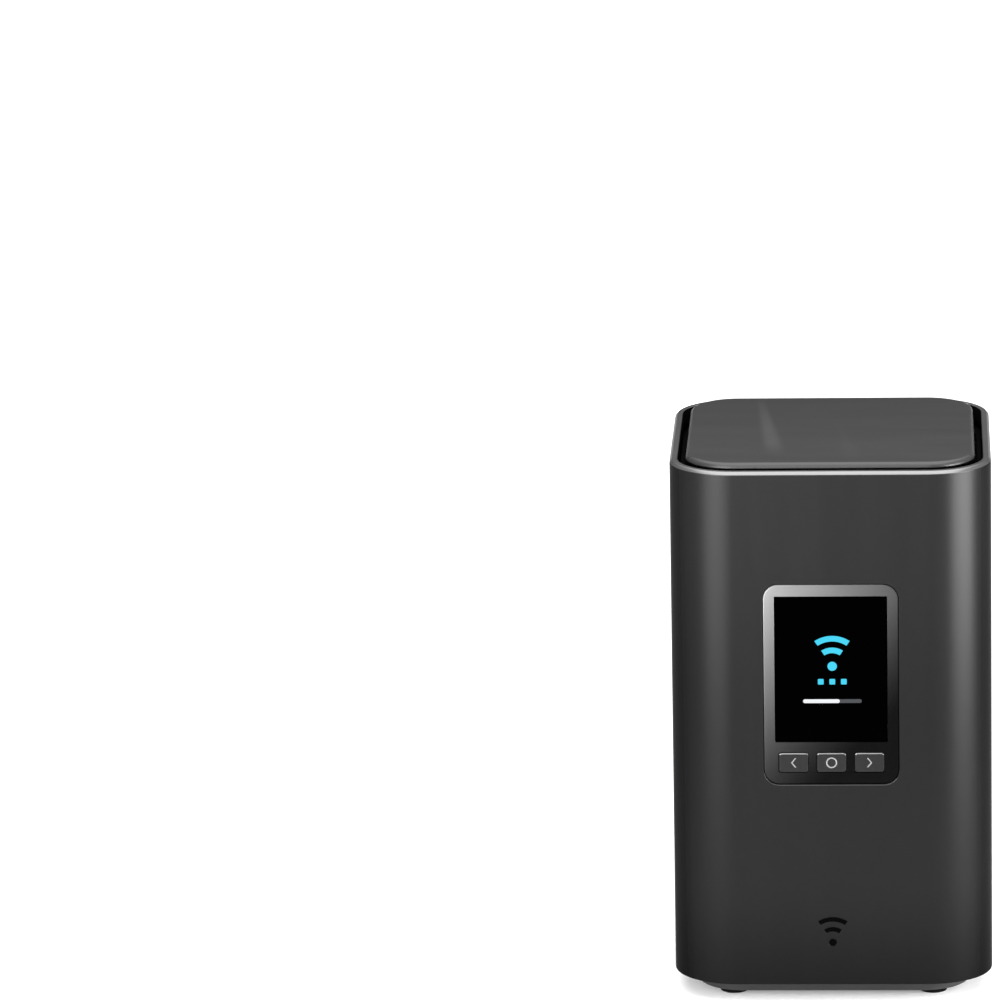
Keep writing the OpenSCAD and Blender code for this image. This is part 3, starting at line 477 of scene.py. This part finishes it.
FINISHES = {
    # The sleeve is darker towards the bottom: painted shade in two steps of height.
    "graphite_shell": surface("shell_satin", (0.0228, 0.0228, 0.0228), 0.36, metal=0.75,
                              specular=0.05, glance=0.12, grain=0.22, grain_height=0.004,
                              mottle=0.04, drift=(4, 4, 0.25), edge=0.15,
                              painted_shade_steps=((100, 215, 0.68), (0, 50, 0.64))),
    # The plate has painted shade towards its back and painted reflection streaks.
    "top_plate_satin": surface("plate_satin", (0.088, 0.088, 0.088), 0.38, metal=0.6,
                               specular=0.2, glance=0.12, grain=0.5, grain_height=0.005,
                               mottle=0.05, edge=0.1, stretch=(0.03, 1, 1), drift=(0.4, 2.5, 1),
                               painted_light=plate_painted_light),
    "vent_black": surface("vent_matt", (0.0012, 0.0012, 0.0012), 0.7, specular=0.03),
    "base_plastic": surface("base_grain", (0.028, 0.028, 0.028), 0.5, specular=0.3),
    "foot_rubber": surface("foot_rubber", (0.005, 0.005, 0.005), 0.7, specular=0.03, grain=0.35,
                           grain_height=0.02),
    "label_film": surface("label_film", (0.33, 0.33, 0.34), 0.45, grain=0.4, edge=0.0),
    # The bezel's colour is only a painted reflection, light at its upper left and dark at its lower
    # right.
    "bezel_metal": surface("bezel_metal_painted_reflection", None, 0.34, metal=0.85, specular=0.2, grain=0.12,
                           grain_height=0.004, stretch=(1, 1, 0.03), edge_radius=0.25,
                           painted_light=painted_bezel_reflection),
    "screen_glass": surface("screen_black", (0.0001, 0.0001, 0.00012), 0.09, specular=0.002,
                            grain=2.0, grain_height=0.0004, mottle=0.02, rough_spread=0.02,
                            edge=0.05),
    "emblem_gloss": surface("emblem_gloss", (0.0006, 0.0006, 0.0006), 0.2, specular=0.012,
                            grain=0.8, grain_height=0.001, rough_spread=0.03, edge=0.1),
    "key_plastic": surface("key_satin", (0.0098, 0.0098, 0.0098), 0.36, specular=0.14, grain=0.2,
                           grain_height=0.005, edge=0.4, edge_gain=1.8, edge_radius=0.2),
    "legend_white": surface("legend_print", (0.2, 0.2, 0.2), 0.5, grain=0.15, edge=0.1),
    "panel_plastic": surface("panel_grain", (0.015, 0.015, 0.0155), 0.5, specular=0.12),
    "jack_plastic": surface("jack_plastic", (0.012, 0.012, 0.013), 0.3, specular=0.45,
                            grain=0.5, edge=0.3),
    "contact_gold": surface("contact_gold", (0.75, 0.50, 0.18), 0.25, metal=1.0, grain=0.2,
                            grain_height=0.002),
    "led_lens": surface("led_lens", (0.45, 0.5, 0.38), 0.2, specular=0.6, grain=0.6, coat=0.4),
    "socket_steel": surface("socket_steel", (0.5, 0.5, 0.51), 0.28, metal=1.0, grain=0.15,
                            grain_height=0.003, stretch=(1, 0.1, 1)),
    "button_plastic": surface("button_satin", (0.03, 0.03, 0.031), 0.4, specular=0.4,
                              grain=0.2, grain_height=0.006, edge=0.4),
    "reset_plastic": surface("reset_red", (0.4, 0.03, 0.02), 0.45),
    "tray_plastic": surface("tray_grain", (0.02, 0.02, 0.021), 0.48, grain=0.25),
    "card_plastic": surface("card_gold", (0.7, 0.5, 0.2), 0.35, metal=0.6),
    "plunger_plastic": surface("plunger_plastic", (0.6, 0.58, 0.5), 0.45),
    "circuit_board": surface("solder_mask", (0.008, 0.055, 0.028), 0.35, grain=0.8,
                             grain_height=0.02, mottle=0.2),
    "switch_body": surface("switch_body", (0.012, 0.012, 0.013), 0.5),
    "flex_film": surface("flex_film", (0.38, 0.13, 0.015), 0.3, grain=0.6, coat=0.3),
    "bracket_metal": surface("bracket_sheet", (0.45, 0.45, 0.46), 0.35, metal=1.0, grain=0.2,
                             stretch=(0.1, 1, 1)),
    "lcd_module": surface("lcd_frame", (0.05, 0.05, 0.055), 0.4, metal=0.5),
    "chassis_plastic": surface("chassis_plastic", (0.05, 0.052, 0.055), 0.5, grain=0.4),
    "shield_steel": surface("shield_tin", (0.55, 0.55, 0.56), 0.32, metal=1.0, grain=0.4),
    "pad_silicone": surface("thermal_pad", (0.2, 0.35, 0.48), 0.8, grain=0.4,
                            grain_height=0.03),
    "heatsink_aluminium": surface("heatsink_alu", (0.5, 0.51, 0.52), 0.38, metal=1.0,
                                  grain=0.2, stretch=(1, 1, 0.05)),
    "carrier_plastic": surface("carrier_plastic", (0.5, 0.5, 0.48), 0.55, grain=0.4),
    "antenna_foil": surface("antenna_foil", (0.65, 0.38, 0.15), 0.3, metal=1.0),
    "cable_jacket": surface("cable_jacket", (0.01, 0.01, 0.01), 0.5, grain=0.2),
    "screw_steel": surface("screw_black_zinc", (0.16, 0.16, 0.17), 0.35, metal=0.9, grain=0.2),
}
# The rim's polished metal; the keys' upper bevels take it too, as a painted highlight.
RIM = surface("rim_polished", (0.28, 0.28, 0.28), 0.32, metal=0.9, glance=0.15,
              grain_height=0.002, edge=0.0)
# A brighter polished metal for the recesses' lips that face up: a painted highlight.
LIP_HIGHLIGHT = surface("lip_painted_highlight", (0.06, 0.06, 0.06), 0.34, metal=0.9, specular=0.3, glance=0.15,
              grain_height=0.002, edge=0.0)
PRINT = surface("panel_print", (0.35, 0.35, 0.36), 0.5, grain=0.2, edge=0.0)


# ---------------------------------------------------------------- enclosure

def recess(bm, outer_quad, inner_quad, y_face, inwards, node_name, radius, ledge, extra=()):
    """A rounded recess with a soft lip, a ledge and a window through the wall.

    The quads are the wall's faces that it opens, inwards is the wall's inward direction along Y,
    and extra are the mouths of other pockets in the outer face.
    """
    low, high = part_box(node_name)
    w = high.x - low.x + 2 * RECESS_GAP
    h = high.z - low.z + 2 * RECESS_GAP
    cz = (high.z + low.z) / 2
    r = radius + RECESS_GAP
    stages = [(-RECESS_SOFT, 0.0), (-RECESS_SOFT * 0.3, RECESS_SOFT * 0.3), (0.0, RECESS_SOFT),
              (0.0, RECESS_DEPTH), (ledge, RECESS_DEPTH), (ledge, SHELL_WALL)]
    rings = []
    for inset, depth in stages:
        points = rounded_loop(w - 2 * inset, h - 2 * inset, max(r - inset, 0.6 * MM))
        rings.append([bm.verts.new((x, y_face + inwards * depth, z + cz)) for x, z in points])
    bridge_all(bm, rings)
    fill(bm, [outer_quad, rings[0], *extra], (0, -inwards, 0))
    fill(bm, [inner_quad, rings[-1]], (0, inwards, 0))


def emblem_pockets(bm, y_face):
    """The emblem's shallow pockets in the front; returns their mouths."""
    mouths = []
    for points in emblem_outlines():
        mouth = [bm.verts.new((x, y_face, z)) for x, z in points]
        foot = [bm.verts.new((x, y_face + EMBLEM_DEPTH, z)) for x, z in points]
        bridge(bm, mouth, foot)
        fill(bm, [foot], (0, -1, 0))
        mouths.append(mouth)
    return mouths


def shell():
    """The sleeve: a rounded square tube with a chamfered rim, a turned-in lip and two recesses."""
    low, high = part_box("outer_shell")
    width = high.x - low.x
    opening = (width - BASE_WIDTH) / 2 - BASE_GAP
    lip_top = low.z + LIP_HEIGHT
    lip = [(opening, lip_top), (opening, low.z + 0.4 * MM), (opening - 0.4 * MM, low.z)]
    outside = [(0.4 * MM, low.z), (0.12 * MM, low.z + 0.1 * MM), (0, low.z + 0.35 * MM),
               (0, high.z - RIM_CHAMFER - 0.25 * MM), (0.07 * MM, high.z - RIM_CHAMFER),
               (RIM_CHAMFER - 0.15 * MM, high.z - 0.12 * MM), (RIM_CHAMFER + 0.1 * MM, high.z)]
    inside = [(RIM_WALL - 0.2 * MM, high.z), (RIM_WALL, high.z - 0.2 * MM),
              (RIM_WALL, high.z - RIM_BAND), (SHELL_WALL, high.z - RIM_BAND),
              (SHELL_WALL, lip_top)]
    outer_wall = len(lip) + 2
    inner_wall = len(lip) + len(outside) + len(inside) - 2

    bm = bmesh.new()
    loops = []
    for inset, z in lip + outside + inside:
        lip_radius = BASE_RADIUS + BASE_GAP + opening - inset
        r = lip_radius if len(loops) < len(lip) else SHELL_RADIUS - inset
        points = rounded_loop(width - 2 * inset, width - 2 * inset, r, CORNER_STEPS)
        loops.append(add_loop(bm, points, z))
    front_side = len(loops[0]) - 1
    rear_side = 2 * (CORNER_STEPS + 1) - 1

    def wall_quad(a, side):
        here, there = loops[a], loops[(a + 1) % len(loops)]
        after = (side + 1) % len(here)
        return here[side], here[after], there[after], there[side]

    for a in range(len(loops)):
        for side in range(len(loops[0])):
            if a in (outer_wall, inner_wall) and side in (front_side, rear_side):
                continue
            bm.faces.new(wall_quad(a, side))

    recess(bm, wall_quad(outer_wall, front_side), wall_quad(inner_wall, front_side), low.y, 1,
           "display_bezel", BEZEL_RADIUS, BEZEL_LEDGE, emblem_pockets(bm, low.y))
    recess(bm, wall_quad(outer_wall, rear_side), wall_quad(inner_wall, rear_side), high.y, -1,
           "io_panel", PANEL_RADIUS, PANEL_LEDGE)

    rim_low = high.z - RIM_CHAMFER - 0.05 * MM

    def pick(face):
        """0 for the sleeve's satin, 1 for the polished rim, 2 for the recesses' soft lips that face
        up, a painted highlight.
        """
        if face.calc_center_median().z > rim_low:
            return 1 if face.normal.z > 0.2 else 0
        # Only the lips that face up take the brighter polished metal, as a painted highlight where
        # the light falls.
        return 2 if abs(face.normal.y) > 0.3 and face.normal.z > 0.25 else 0

    finish_mesh(bm, "tower_sleeve", [FINISHES["graphite_shell"], RIM, LIP_HIGHLIGHT], "enclosure",
                ["outer_shell"], pick=pick)
    flat_glyphs("wave_emblem", emblem_outlines(), -low.y - 0.03 * MM, 0.25 * MM,
                FINISHES["emblem_gloss"], FRONT, ["front_emblem"])


def top_plate():
    low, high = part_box("top_plate")
    w = high.x - low.x
    skirt_low = high.z - PLATE_SKIRT
    profile = [(SKIRT_WALL, high.z - PLATE_THICKNESS), (SKIRT_WALL, skirt_low + 0.2 * MM),
               (SKIRT_WALL - 0.2 * MM, skirt_low), (0.3 * MM, skirt_low),
               (0, skirt_low + 0.3 * MM)]
    for i in range(9):
        a = math.radians(90) * i / 8
        profile.append((PLATE_EDGE * (1 - math.cos(a)),
                        high.z - PLATE_EDGE + PLATE_EDGE * math.sin(a)))
    bm = bmesh.new()
    cap(bm, plate_loops(bm, w, w, PLATE_RADIUS, profile, CORNER_STEPS))
    # The plate's sides and underside take the vents' black: painted shade for the gap under the
    # rim.
    finish_mesh(bm, "floating_top_plate", [FINISHES["top_plate_satin"], FINISHES["vent_black"]],
                "enclosure", ["top_plate"],
                pick=lambda face: 0 if face.normal.z > 0.05 else 1)


def feet():
    low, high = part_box("rubber_feet")
    r = FOOT_RADIUS
    profile = [(r - 1.6 * MM, low.z + 0.25 * MM), (r - 1.3 * MM, low.z), (r - 0.6 * MM, low.z),
               (r - 0.18 * MM, low.z + 0.18 * MM), (r, low.z + 0.6 * MM), (r, high.z)]
    bm = bmesh.new()
    for x in (low.x + r, high.x - r):
        for y in (low.y + r, high.y - r):
            turned(bm, profile, x, y)
    finish_mesh(bm, "rubber_foot_pads", [FINISHES["foot_rubber"]], "enclosure",
                ["rubber_feet"])


# ---------------------------------------------------------------- display and keys

def key_face(name):
    """The middle and the size of a key's visible cap: cx, cz, w, h."""
    low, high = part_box(name)
    return ((low.x + high.x) / 2, (low.z + high.z) / 2,
            high.x - low.x - 2 * KEY_FLANGE, high.z - low.z - 2 * KEY_FLANGE)


def screen_window():
    """The width, the height and the middle height of the bezel's opening over the glass."""
    low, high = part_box("display_glass")
    return (high.x - low.x - 2 * GLASS_RIM_X, high.z - low.z - 2 * GLASS_RIM_Z,
            (low.z + high.z) / 2)


def bezel():
    low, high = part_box("display_bezel")
    front = -low.y
    w, h, middle = screen_window()
    holes = [rect_hole(w, h, 0.4 * MM, 0, middle)]
    for name in KEYS:
        cx, cz, w, h = key_face(name)
        holes.append(rect_hole(w + 2 * KEY_GAP, h + 2 * KEY_GAP, KEY_RADIUS + KEY_GAP, cx, cz))
    plate_with_holes("display_surround",
                     (high.x - low.x, high.z - low.z, 0, (low.z + high.z) / 2), BEZEL_RADIUS,
                     holes, front, front - BEZEL_THICKNESS, 0.1 * MM, FINISHES["bezel_metal"],
                     FRONT, ["display_bezel"])


def glass():
    w, h, middle = screen_window()
    front = -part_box("display_glass")[0].y
    edge = 0.12 * MM
    profile = [(0, front - GLASS_THICKNESS), (0, front - edge), (edge, front)]
    bm = bmesh.new()
    cap(bm, plate_loops(bm, w - 2 * GLASS_GAP, h - 2 * GLASS_GAP, 0.35 * MM, profile, 4, 0, middle))
    finish_mesh(bm, "cover_glass", [FINISHES["screen_glass"]], "enclosure",
                ["display_glass"], FRONT)


def screen_picture():
    """A start-up picture: a radio-wave sign, three waiting dots and a progress bar."""
    low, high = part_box("display_glass")
    depth = -low.y + 0.015 * MM
    thickness = 0.1 * MM
    cx = 0.5 * MM
    cz = (low.z + high.z) / 2
    sign = radio_outlines(12.0 * MM, 2.2 * MM, 4.6 * MM, 1.8 * MM, cx, cz + 1.2 * MM)
    dots = [rounded_loop(2.2 * MM, 2.2 * MM, 0.35 * MM, 3, cx + x * MM, cz - 4.9 * MM)
            for x in (-4.4, 0, 4.4)]
    bar_w, done_w, bar_h, bar_z = 22.4 * MM, 14.0 * MM, 1.5 * MM, cz - 12.6 * MM
    track = rounded_loop(bar_w, bar_h, 0.74 * MM, 6, cx, bar_z)
    done = rounded_loop(done_w, bar_h, 0.74 * MM, 6, cx - (bar_w - done_w) / 2, bar_z)
    cyan = glow("screen_cyan", (0.05, 0.62, 0.85), 1.0)
    white = glow("screen_white", (0.9, 0.92, 0.95), 0.9)
    dim = glow("screen_dim", (0.16, 0.17, 0.19), 0.35)
    flat_glyphs("screen_sign", sign + dots, depth, thickness, cyan, FRONT)
    flat_glyphs("screen_bar_track", [track], depth, thickness, dim, FRONT)
    flat_glyphs("screen_bar", [done], depth + 0.01 * MM, thickness, white, FRONT)


def key(name):
    """A key's cap whose upper bevel takes the rim's polished metal as a painted highlight, and the
    flange that holds it behind the bezel.
    """
    cx, cz, w, h = key_face(name)
    front = -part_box(name)[0].y - 0.03 * MM
    profile = [(-KEY_FLANGE, front - 2.2 * MM), (-KEY_FLANGE, front - 1.6 * MM),
               (0, front - 1.6 * MM), (0, front - KEY_BEVEL),
               (KEY_BEVEL * 0.35, front - KEY_BEVEL * 0.3), (KEY_BEVEL, front - 0.02 * MM),
               (KEY_BEVEL + 0.3 * MM, front)]
    bm = bmesh.new()
    cap(bm, plate_loops(bm, w, h, KEY_RADIUS, profile, 6, cx, cz, 0.3 * MM))
    # Only the bevel that faces up takes the rim's polished metal: a painted highlight where the
    # light falls from above.
    finish_mesh(bm, f"{name}_cap", [FINISHES["key_plastic"], RIM], name, [name],
                FRONT, lambda face: 1 if 0.2 < face.normal.z < 0.98 else 0)


# ---------------------------------------------------------------- rear panel

def seen_from_rear(name):
    """A node's middle and size as its viewer sees them from the rear: cx, cz, w, h."""
    low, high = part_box(name)
    return -(low.x + high.x) / 2, (low.z + high.z) / 2, high.x - low.x, high.z - low.z


def rear_panel():
    low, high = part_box("io_panel")
    top = high.y
    holes = []
    for jack in JACKS:
        cx, cz, w, h = seen_from_rear(jack)
        holes.append(rect_hole(w + 2 * SOCKET_GAP, h + 2 * SOCKET_GAP, 0.5 * MM, cx, cz))
    cx, cz, w, h = seen_from_rear("usb_c_inlet")
    inlet_r = w / 2 + SOCKET_GAP - 0.001 * MM
    holes.append(rect_hole(w + 2 * SOCKET_GAP, h + 2 * SOCKET_GAP, inlet_r, cx, cz, 10))
    cx, cz, w, h = seen_from_rear("sim_tray")
    holes.append(rect_hole(w + 2 * TRAY_GAP, h + 2 * TRAY_GAP, 0.3 * MM, cx, cz))
    holes.append(round_hole(PINHOLE_RADIUS, 0, seen_from_rear("reset_plunger")[1]))
    holes.append(round_hole(POWER_RADIUS + POWER_GAP, 0, seen_from_rear("power_button")[1]))
    plate_with_holes("socket_panel", (high.x - low.x, high.z - low.z, 0, (low.z + high.z) / 2),
                     PANEL_RADIUS, holes, top, top - PANEL_THICKNESS, 0.12 * MM,
                     FINISHES["panel_plastic"], REAR, ["io_panel"])


def power_sign(cx, cz, line):
    """A ring that is open at the top, with a stroke in the opening."""
    r = 1.5 * MM
    return [arc_band(r, r - line, math.radians(140), 24, cx, cz, -math.pi / 2),
            rounded_loop(line, 1.9 * MM, line * 0.45, 3, cx, cz + 1.1 * MM)]


def network_sign(cx, cz, line):
    """A box joined to two boxes below it."""
    shapes = [rounded_loop(1.5 * MM, 1.1 * MM, 0.15 * MM, 3, cx, cz + 1.5 * MM),
              rounded_loop(3.6 * MM, line, line * 0.4, 3, cx, cz - 0.1 * MM),
              rounded_loop(line, 0.9 * MM, line * 0.4, 3, cx, cz + 0.5 * MM)]
    for x in (cx - 1.5 * MM, cx + 1.5 * MM):
        shapes.append(rounded_loop(1.3 * MM, 1.0 * MM, 0.15 * MM, 3, x, cz - 1.25 * MM))
        shapes.append(rounded_loop(line, 0.6 * MM, line * 0.4, 3, x, cz - 0.55 * MM))
    return shapes


def direct_current_sign(cx, cz, line):
    """A stroke over three dashes."""
    dashes = [rounded_loop(0.8 * MM, line, line * 0.4, 3, cx + x * MM, cz)
              for x in (-1.1, 0.0, 1.1)]
    return [rounded_loop(3.2 * MM, line, line * 0.4, 3, cx, cz + 0.8 * MM), *dashes]


def card_sign(cx, cz):
    """A card with one corner cut off."""
    corners = [(-1.2, -1.6), (1.2, -1.6), (1.2, 1.0), (0.6, 1.6), (-1.2, 1.6)]
    return [[(cx + x * MM, cz + z * MM) for x, z in corners]]


def panel_signs():
    """Printed signs beside the sockets: plain shapes, no lettering."""
    side = 11.6 * MM
    line = 0.35 * MM
    shapes = power_sign(side, seen_from_rear("power_button")[1], line)
    for jack in JACKS:
        shapes += network_sign(side, seen_from_rear(jack)[1], line)
    shapes += direct_current_sign(side, seen_from_rear("usb_c_inlet")[1], line)
    shapes += card_sign(side, seen_from_rear("sim_tray")[1])
    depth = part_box("io_panel")[1].y + 0.012 * MM
    flat_glyphs("panel_signs", shapes, depth, 0.06 * MM, PRINT, REAR)


def power_button():
    cx, cz = seen_from_rear("power_button")[:2]
    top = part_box("power_button")[1].y
    r = POWER_RADIUS
    profile = [(r + POWER_FLANGE, top - 5.0 * MM), (r + POWER_FLANGE, top - 4.1 * MM),
               (r, top - 4.1 * MM), (r, top - 0.4 * MM), (r - 0.12 * MM, top - 0.12 * MM),
               (r - 0.4 * MM, top), (r - 1.4 * MM, top), (r - 2.0 * MM, top - 0.15 * MM)]
    bm = bmesh.new()
    turned(bm, profile, cx, cz)
    finish_mesh(bm, "power_button_cap", [FINISHES["button_plastic"]], "power_button",
                ["power_button"], REAR)


# ---------------------------------------------------------------- carried-over CAD nodes

def dress_cad_nodes():
    slots = {s["node"]: s["material_slot"] for s in frame["record"]["subparts"]}
    for name, piece in frame["nodes"].items():
        if piece.hide_render:
            continue
        piece.data.materials.clear()
        piece.data.materials.append(FINISHES[slots[name]])


# ---------------------------------------------------------------- stage, lights, camera

def stage():
    bm = bmesh.new()
    bmesh.ops.create_grid(bm, x_segments=2, y_segments=2, size=14.0)
    mesh = bpy.data.meshes.new("floor")
    bm.to_mesh(mesh)
    bm.free()
    floor = bpy.data.objects.new("floor", mesh)
    bpy.context.scene.collection.objects.link(floor)
    floor.data.materials.append(surface("floor_pale", (0.84, 0.84, 0.84), 0.75, specular=0.1,
                                        grain=6.0, grain_height=0.001, mottle=0.01, edge=0.0,
                                        emission=0.22))


def area_light(name, at, target, width, height, radiance):
    """A soft box that faces the target; radiance is the brightness of its surface."""
    data = bpy.data.lights.new(name, "AREA")
    data.shape = "RECTANGLE"
    data.size, data.size_y = width, height
    data.energy = radiance * width * height * math.pi
    lamp = bpy.data.objects.new(name, data)
    bpy.context.scene.collection.objects.link(lamp)
    lamp.location = at
    lamp.rotation_euler = (Vector(target) - Vector(at)).to_track_quat("-Z", "Y").to_euler()
    lamp.visible_camera = False


def side_light(name, spot, degrees_right, distance, width, foot, height, radiance):
    """An upright soft box that lights a spot (x, y) of the sleeve from one side.

    degrees_right is how far it stands to the right of the spot's view to the front, and foot is
    the height of its lower edge.
    """
    a = math.radians(degrees_right)
    x, y = spot[0] + distance * math.sin(a), spot[1] - distance * math.cos(a)
    z = foot + height / 2
    area_light(name, (x, y, z), (*spot, z), width, height, radiance)


def lights():
    world = bpy.data.worlds.new("studio")
    bpy.context.scene.world = world
    world.use_nodes = True
    back = world.node_tree.nodes["Background"]
    back.inputs["Color"].default_value = (1, 1, 1, 1)
    back.inputs["Strength"].default_value = 0.3
    area_light("overhead", (0, 0.6, 2.2), (0, 0.6, 0), width=3.2, height=4.4, radiance=2.4)
    side_light("left_soft", (-0.0443, -0.0604), -32.8, distance=0.36, width=0.26, foot=0.03,
               height=0.24, radiance=7.6)
    side_light("right_soft", (0.0506, -0.0573), 67.5, distance=0.36, width=0.27, foot=0.03,
               height=0.24, radiance=17.5)
    side_light("front_soft", (0.0, -0.0615), -20.0, distance=0.8, width=0.6, foot=0.24,
               height=0.56, radiance=3.8)
    side_light("rear_soft", (0.0, 0.0615), 180.0, distance=0.9, width=1.1, foot=0.01,
               height=0.2, radiance=4.0)
    bpy.context.scene.view_settings.view_transform = "Standard"


def camera():
    """A long lens from the front, a little above, turned towards the empty left of the view."""
    data = bpy.data.cameras.new("camera")
    data.sensor_width = 36.0
    data.lens = 261.1
    data.clip_start, data.clip_end = 0.1, 50
    eye = bpy.data.objects.new("camera", data)
    bpy.context.scene.collection.objects.link(eye)
    eye.location = (0.0303, -2.7346, 0.8646)
    yaw, pitch, roll = math.radians(-3.33), math.radians(13.925), math.radians(-1.08)
    ahead = Vector((math.sin(yaw) * math.cos(pitch), math.cos(yaw) * math.cos(pitch),
                    -math.sin(pitch)))
    right = ahead.cross(Vector((0, 0, 1))).normalized()
    up = right.cross(ahead)
    tilted_right = math.cos(roll) * right + math.sin(roll) * up
    tilted_up = math.cos(roll) * up - math.sin(roll) * right
    turn = Matrix((tilted_right, tilted_up, -ahead)).transposed()
    eye.rotation_euler = turn.to_euler()
    bpy.context.scene.camera = eye


camera()
lights()
stage()
shell()
top_plate()
feet()
bezel()
glass()
screen_picture()
for key_name in KEYS:
    key(key_name)
rear_panel()
panel_signs()
power_button()
dress_cad_nodes()
